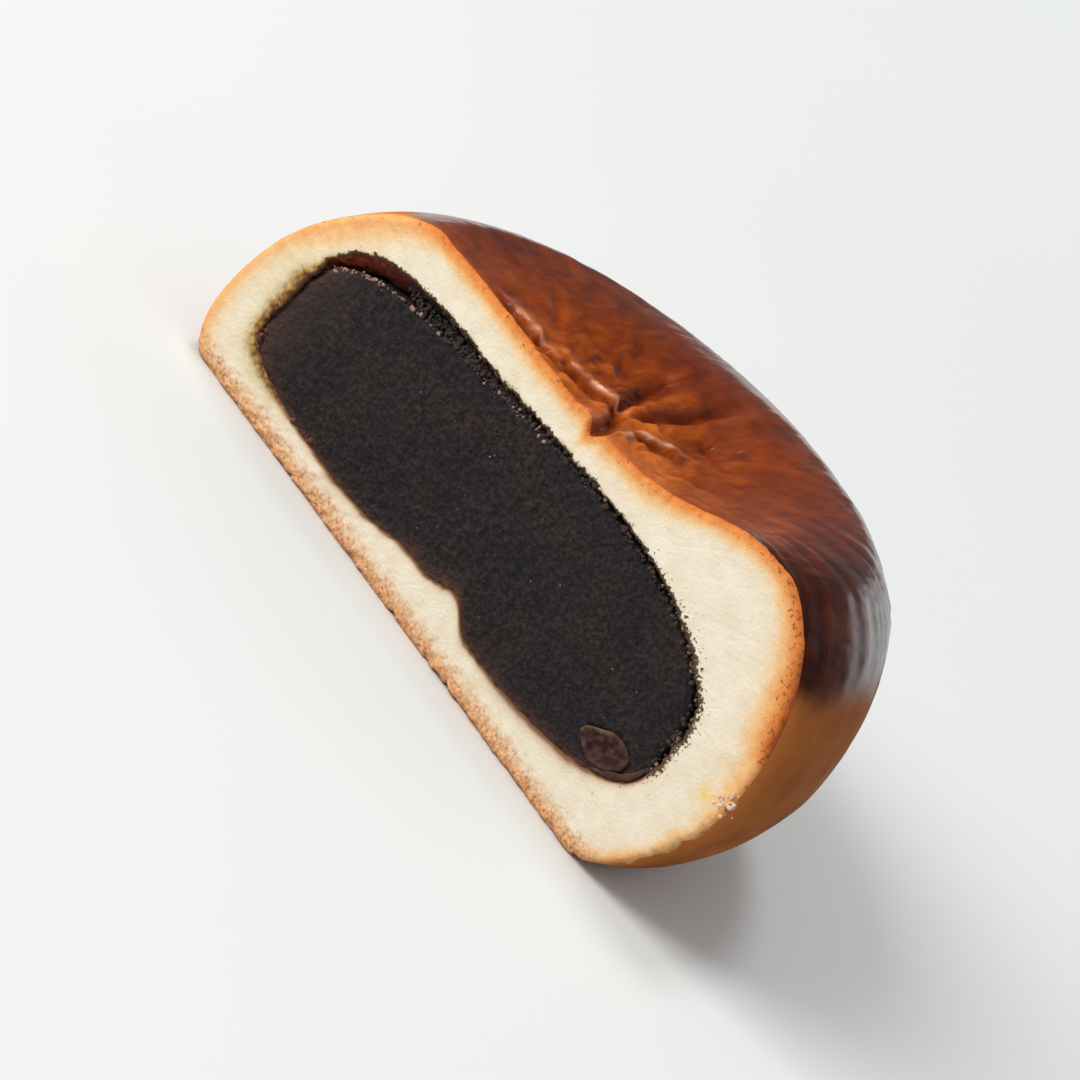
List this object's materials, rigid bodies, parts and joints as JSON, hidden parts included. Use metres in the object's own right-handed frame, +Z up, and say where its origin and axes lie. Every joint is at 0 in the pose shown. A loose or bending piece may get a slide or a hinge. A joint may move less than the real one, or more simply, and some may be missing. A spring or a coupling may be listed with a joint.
{
  "type": "anpan",
  "caption": "Cut piece of a round, flat sweet bun with a glazed brown top and dark bean paste showing across its flat cut face.",
  "frame": {"origin": "on the ground plane under the middle of the piece's box", "axes": "+X along the cut towards the thicker end, -Y out of the cut face, +Z up"},
  "size_m": [0.08, 0.047, 0.037],
  "materials": {
    "bread": "baked crust, glossy red-brown glaze on top, matte tan side, pale cream crumb at the cut",
    "bean_paste": "matte, fine-grained, near-black bean paste",
    "bean": "matte, dark red-brown cooked bean, cut through, with a slightly paler skin"
  },
  "bodies": {
    "root": {"bread": "bread", "filling": "bean_paste", "bean": "bean"}
  },
  "joints": []
}
